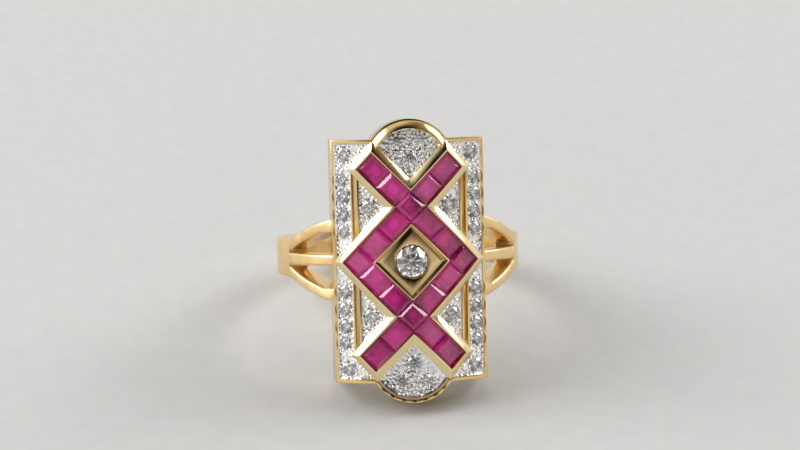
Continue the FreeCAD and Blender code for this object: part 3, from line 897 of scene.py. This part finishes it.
bpy.ops.object.mode_set(mode="OBJECT")
seats = [
    stone_seat(d, SEAT_FLARE, Matrix.Translation((x, FLAT_RADIUS - PAVE_GIRDLE_RADIUS, z)))
    for stones in fields.values()
    for x, z, d in stones
]
cut_away(sheet, join(seats, "seats"))
pick(sheet)
bpy.ops.object.mode_set(mode="EDIT")
bpy.ops.mesh.select_all(action="SELECT")
bpy.ops.mesh.separate(type="LOOSE")
bpy.ops.object.mode_set(mode="OBJECT")
loose_plates = list(bpy.context.selected_objects)
DOME_FOOT = 6


def plate_name(x, z):
    """Which plate a flat place belongs to."""
    level = "upper" if z > 0 else "lower"
    if abs(z) > DOME_FOOT and abs(x) < DOME_INNER_RADIUS:
        return "top_dome" if z > 0 else "bottom_dome"
    part = "triangle" if abs(x) < groove_near and abs(z) < GROOVE_TOP else "side"
    return f"{level}_{'left' if x < 0 else 'right'}_{part}"


BAND_OVER_BEADS = 0.5
GROOVE_END = 0.4


def in_plates(x, z, margin):
    """Whether a flat place is on some plate, clear of its edges by a margin."""
    panel = abs(x) < panel_reach - margin and abs(z) < PANEL_HALF_HEIGHT - margin
    dome_reach = math.hypot(x, abs(z) - DOME_CENTRE_HEIGHT)
    dome_limit = DOME_INNER_RADIUS - (BAND_OVER_BEADS if z > 0 else 0)
    in_dome = abs(z) > DOME_CENTRE_HEIGHT and dome_reach < dome_limit - margin
    if plate_name(x, z).endswith("dome") and dome_reach > dome_limit - margin:
        return False
    in_groove = groove_near - margin < abs(x) < groove_far + margin
    in_groove = in_groove and abs(z) < GROOVE_TOP + GROOVE_END
    near_lattice = in_channel(x, z, LIP_WIDTH + WALL_WIDTH + margin) or in_middle(x, z)
    return (panel or in_dome) and not in_groove and not near_lattice


BEAD_RADIUS = 0.15
SMALLEST_BEAD = 0.11
BEAD_SPACING = 0.27
BEADS_ROUND_A_STONE = 6
BEAD_FROM_STONE = 0.05
BEAD_MARGIN = 0.07
STONE_MARGIN = 0.02
BEAD_SEAT_RADIUS = 11.22
BEAD_FIELD_HALF_HEIGHT = 11.3
TRIES = 9000
bpy.ops.mesh.primitive_uv_sphere_add(
    segments=8, ring_count=6, radius=1, rotation=(math.pi / 2, 0, 0)
)
bead_pattern = bpy.context.object
apply_place(bead_pattern)
bpy.ops.object.shade_smooth()

# Beads are tried round the stones first, then anywhere, and kept where they have room.
chance = random.Random(5)
tried = []
for name, stones in fields.items():
    for x, z, diameter in stones:
        start = chance.uniform(0, 1)
        for number in range(BEADS_ROUND_A_STONE):
            angle = (number + start) * 2 * math.pi / BEADS_ROUND_A_STONE
            reach = diameter / 2 + BEAD_FROM_STONE
            bead_x, bead_z = x + reach * math.cos(angle), z + reach * math.sin(angle)
            tried.append((bead_x, bead_z, BEAD_RADIUS, name))
for attempt in range(TRIES):
    x = chance.uniform(-panel_reach, panel_reach)
    z = chance.uniform(-BEAD_FIELD_HALF_HEIGHT, BEAD_FIELD_HALF_HEIGHT)
    tried.append((x, z, chance.uniform(SMALLEST_BEAD, BEAD_RADIUS), None))
beads = {name: [] for name in fields}
kept = []
every_stone = [stone for stones in fields.values() for stone in stones]
for x, z, radius, owner in tried:
    if (
        in_plates(x, z, BEAD_MARGIN)
        and all(math.hypot(x - a, z - b) > d / 2 + STONE_MARGIN for a, b, d in every_stone)
        and all(math.hypot(x - a, z - b) > BEAD_SPACING for a, b in kept)
    ):
        kept.append((x, z))
        place = radial_matrix(x, z, BEAD_SEAT_RADIUS) @ Matrix.Scale(radius, 4)
        beads[owner or plate_name(x, z)].append(own_copy(bead_pattern, "bead", place))

# Rhodium plate over white gold: a cold, hard white, cut into small facets by the graver.
white_gold = polished_metal(
    "rhodium-plated white gold, bead-set", "#FFFEFD", "#F2F0EF", 0.25, 0.26, 0.035, graved=True
)
SIDE_REACH = 5.2
for plate in loose_plates:
    corners = [Vector(corner) for corner in plate.bound_box]
    middle = sum(corners, Vector()) / len(corners)
    # A side plate is named from a place near its outer edge, because it runs in beside a dome.
    at_side = abs(middle.x) >= 1 and max(abs(corner.x) for corner in corners) >= SIDE_REACH
    name = plate_name(math.copysign(panel_reach, middle.x) if at_side else middle.x, middle.z)
    round_edges(plate, PLATE_EDGE)
    slice_across(plate)
    curve_round_finger(plate)
    plate = join([plate] + beads[name], f"{name}_bead_set_plate")
    lean_back(plate, white_gold)
    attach(plate, "root")
    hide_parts(f"{name}_plate")
bpy.data.objects.remove(bead_pattern)

# --------------------------------------------------------------------------- pave diamonds
# Small round brilliants, one to a seat, held by the beads round them. They are alike but for
# their size and the way that each is turned and tipped.

turns = random.Random(3)
for name, stones in fields.items():
    cut = []
    for x, z, diameter in stones:
        tip = tipped(turns)
        turn = turns.uniform(0, math.pi / 4)
        cut.append(set_brilliant("brilliant", x, z, diameter, PAVE_GIRDLE_RADIUS, turn, tip))
    several = "s" if len(cut) > 1 else ""
    group = join(cut, f"{name}_brilliant{several}")
    lean_back(group, diamond)
    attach(group, "root")
    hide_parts(f"{name}_diamond{several}")
bpy.data.objects.remove(brilliant)

# ----------------------------------------------------------------------------------- rails
# Thin yellow gold strips soldered on edge along both sides of the four open grooves: the back
# walls of the triangles, and the inner walls of the side fields.

RAIL_WIDTH = 0.2
RAIL_EDGE = 0.04
RAIL_OVERRUN = 0.3
RAIL_TOP = FLAT_RADIUS - RIM_TOP_RADIUS
for node, near in (("triangle_walls", groove_near), ("column_rails", groove_far - RAIL_WIDTH)):
    strips = []
    for side, level in QUARTERS.values():
        low_x, high_x = sorted((side * near, side * (near + RAIL_WIDTH)))
        low_z, high_z = sorted((level, level * (GROOVE_TOP + RAIL_OVERRUN)))
        strip = flat_block("strip", low_x, high_x, low_z, high_z, RAIL_TOP, PLATE_BACK)
        cut_away(strip, own_copy(outline_block, "lattice_cutter", Matrix()))
        strips.append(strip)
    rails = join(strips, f"soldered_{node}")
    round_edges(rails, RAIL_EDGE)
    slice_across(rails)
    curve_round_finger(rails)
    lean_back(rails, frame_gold)
    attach(rails, "root")
    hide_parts(node)
bpy.data.objects.remove(outline_block)

# ----------------------------------------------------------------------------------- floor
# A plain pale surface under the ring, matt and very slightly uneven, like heavy drawing paper.

FLOOR_SIZE = 3
FIBRE_MM = 1.5
floor_material = bpy.data.materials.new("pale matt paper")
floor_material.use_nodes = True
tree = floor_material.node_tree
shader = tree.nodes["Principled BSDF"]
shader.inputs["Roughness"].default_value = 0.75
spot = add_node(tree, "ShaderNodeTexCoord").outputs["Object"]
fibre = add_node(
    tree,
    "ShaderNodeTexNoise",
    inputs={"Vector": spot, "Scale": per_metre(FIBRE_MM), "Detail": 3.0},
).outputs["Fac"]
paper_tone = add_node(tree, "ShaderNodeValToRGB", inputs={"Fac": fibre})
paper_tone.color_ramp.elements[0].position = 0.3
paper_tone.color_ramp.elements[0].color = linear("#B8BABB")
paper_tone.color_ramp.elements[1].position = 0.7
paper_tone.color_ramp.elements[1].color = linear("#BDBEBF")
tree.links.new(paper_tone.outputs["Color"], shader.inputs["Base Color"])
bpy.ops.mesh.primitive_plane_add(size=FLOOR_SIZE, location=(0, 0, cad_box[0][2]))
floor = bpy.context.object
floor.name = "floor"
floor.data.materials.append(floor_material)
apply_place(floor)

# ------------------------------------------------------------------------------------ light
# A pale room that is dim on the side the ring faces and towards its upper right. A large
# softbox stands high on the left, and a weaker one high on the right.

ROOM_STRENGTH = 0.97
FACE_TURN = math.radians(-5.8)
FACE_RISE = math.radians(31.7)
facing = Vector(
    (
        math.sin(FACE_TURN) * math.cos(FACE_RISE),
        -math.cos(FACE_TURN) * math.cos(FACE_RISE),
        math.sin(FACE_RISE),
    )
)
across = Vector((math.cos(FACE_TURN), math.sin(FACE_TURN), 0))
upward = across.cross(-facing)
# The dim side is about 20 degrees above the way the ring faces, the dim corner 60 from it.
dim_side = (facing * 0.94 + upward * 0.34).normalized()
dim_corner = facing * 0.5 + (across + upward).normalized() * 0.87
world = bpy.data.worlds.new("studio")
bpy.context.scene.world = world
world.use_nodes = True
tree = world.node_tree
direction = add_node(tree, "ShaderNodeTexCoord").outputs["Generated"]
towards_side = add_node(
    tree, "ShaderNodeVectorMath", {"operation": "DOT_PRODUCT"}, {0: direction, 1: dim_side}
).outputs["Value"]
room = add_node(tree, "ShaderNodeValToRGB", inputs={"Fac": towards_side})
room.color_ramp.elements[0].position = 0.74
room.color_ramp.elements[0].color = linear("#F3F3F3")
room.color_ramp.elements[1].position = 0.93
room.color_ramp.elements[1].color = linear("#241B14")
towards_corner = add_node(
    tree, "ShaderNodeVectorMath", {"operation": "DOT_PRODUCT"}, {0: direction, 1: dim_corner}
).outputs["Value"]
corner = add_node(tree, "ShaderNodeValToRGB", inputs={"Fac": towards_corner})
corner.color_ramp.elements[0].position = 0.7
corner.color_ramp.elements[0].color = linear("#FFFFFF")
corner.color_ramp.elements[1].position = 0.95
corner.color_ramp.elements[1].color = linear("#8A7B69")
shaded_room = add_node(
    tree,
    "ShaderNodeMix",
    {"data_type": "RGBA", "blend_type": "MULTIPLY"},
    {MIX_FACTOR: 1.0, MIX_A: room.outputs["Color"], MIX_B: corner.outputs["Color"]},
)
background = tree.nodes["Background"]
background.inputs["Strength"].default_value = ROOM_STRENGTH
tree.links.new(shaded_room.outputs[MIX_RESULT], background.inputs["Color"])
LAMP_COLOUR = linear("#FFFCF8")[:3]


def add_softbox(name, place, size, power):
    """A square area light that faces the ring."""
    lamp = bpy.data.lights.new(name, "AREA")
    lamp.size = size
    lamp.energy = power
    lamp.color = LAMP_COLOUR
    holder = bpy.data.objects.new(name, lamp)
    bpy.context.scene.collection.objects.link(holder)
    holder.location = place
    holder.rotation_euler = Vector(place).to_track_quat("Z", "Y").to_euler()


add_softbox("key_softbox", (-0.43, 0.06, 0.28), 0.34, 2.4)
add_softbox("right_softbox", (0.42, 0.12, 0.3), 0.3, 1.9)

# ----------------------------------------------------------------------------------- camera
# The camera stands about 200 mm in front of the head, nearly square to its face.

VIEW_TURN = math.radians(5.76)
VIEW_PITCH = math.radians(3.68)
VIEW_ROLL = math.radians(-1.35)
VIEW_ACROSS = 0.230
VIEW_UP = 2.183
VIEW_DISTANCE = 202.2
VIEW_LENS = 108.4
seen = (
    Matrix.Rotation(VIEW_ROLL, 4, "Y")
    @ Matrix.Rotation(VIEW_PITCH, 4, "X")
    @ Matrix.Rotation(VIEW_TURN, 4, "Z")
)
camera_data = bpy.data.cameras.new("camera")
camera_data.lens = VIEW_LENS
camera_data.clip_start = 0.01
camera = bpy.data.objects.new("camera", camera_data)
bpy.context.scene.collection.objects.link(camera)
stand = Matrix.Translation((VIEW_ACROSS, -VIEW_DISTANCE, VIEW_UP)) @ Matrix.Rotation(
    math.pi / 2, 4, "X"
)
placed_view = Matrix.Rotation(-LEAN, 4, "X") @ seen.inverted() @ stand
placed_view.translation = placed_view.translation * MILLIMETRE
camera.matrix_world = placed_view
bpy.context.scene.camera = camera
bpy.context.scene.view_settings.view_transform = "Standard"
